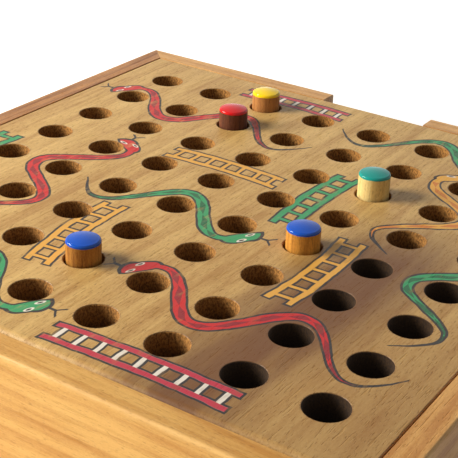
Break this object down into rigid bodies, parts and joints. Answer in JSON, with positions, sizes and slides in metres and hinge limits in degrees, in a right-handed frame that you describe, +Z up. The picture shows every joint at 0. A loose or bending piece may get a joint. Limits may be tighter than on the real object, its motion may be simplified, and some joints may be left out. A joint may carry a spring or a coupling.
{
  "type": "snakes and ladders peg board",
  "caption": "Flat square wooden case whose lid is a drilled snakes and ladders board that folds up on hidden pins, with pegs and a tray under it.",
  "frame": {"origin": "middle of the case's footprint, on the surface that it stands on", "axes": "+Z up, +Y from the hinge side towards the finger notch, +X to the right"},
  "size_m": [0.23, 0.23, 0.045],
  "materials": {
    "case_wood": "clear satin lacquer on pale pine",
    "board_wood": "satin lacquer over a printed board",
    "plywood": "bare thin plywood",
    "tray_wood": "bare planed wood",
    "pin_metal": "plain steel",
    "blue_peg": "gloss paint on the top of a wooden dowel",
    "red_peg": "gloss paint on the top of a wooden dowel",
    "yellow_peg": "gloss paint on the top of a wooden dowel",
    "green_peg": "gloss paint on the top of a wooden dowel",
    "die_wood": "waxed wood with dark pips"
  },
  "bodies": {
    "case": {"front_plank": "case_wood", "back_plank": "case_wood", "left_plank": "case_wood", "right_plank": "case_wood", "bottom_panel": "plywood", "left_rest_strip": "tray_wood", "right_rest_strip": "tray_wood", "long_divider": "tray_wood", "cross_divider": "tray_wood", "left_hinge_pin": "pin_metal", "right_hinge_pin": "pin_metal", "spare_red_peg": "red_peg", "spare_yellow_peg": "yellow_peg", "spare_green_peg": "green_peg", "die": "die_wood"},
    "board": {"playing_board": "board_wood", "board_backing": "plywood"},
    "blue_peg_front": {"blue_peg_front": "blue_peg"},
    "blue_peg_middle": {"blue_peg_middle": "blue_peg"},
    "red_peg": {"red_peg": "red_peg"},
    "yellow_peg": {"yellow_peg": "yellow_peg"},
    "green_peg": {"green_peg": "green_peg"}
  },
  "joints": [
    {"name": "board_fold", "type": "hinge", "parent": "case", "child": "board", "pos_m": [0, -0.0969, 0.031], "axis": [1, 0, 0], "range_deg": [0, 110]},
    {"name": "blue_peg_front_lift", "type": "slide", "parent": "board", "child": "blue_peg_front", "axis": [0, 0, 1], "range_m": [0, 0.02]},
    {"name": "blue_peg_middle_lift", "type": "slide", "parent": "board", "child": "blue_peg_middle", "axis": [0, 0, 1], "range_m": [0, 0.02]},
    {"name": "red_peg_lift", "type": "slide", "parent": "board", "child": "red_peg", "axis": [0, 0, 1], "range_m": [0, 0.02]},
    {"name": "yellow_peg_lift", "type": "slide", "parent": "board", "child": "yellow_peg", "axis": [0, 0, 1], "range_m": [0, 0.02]},
    {"name": "green_peg_lift", "type": "slide", "parent": "board", "child": "green_peg", "axis": [0, 0, 1], "range_m": [0, 0.02]}
  ]
}
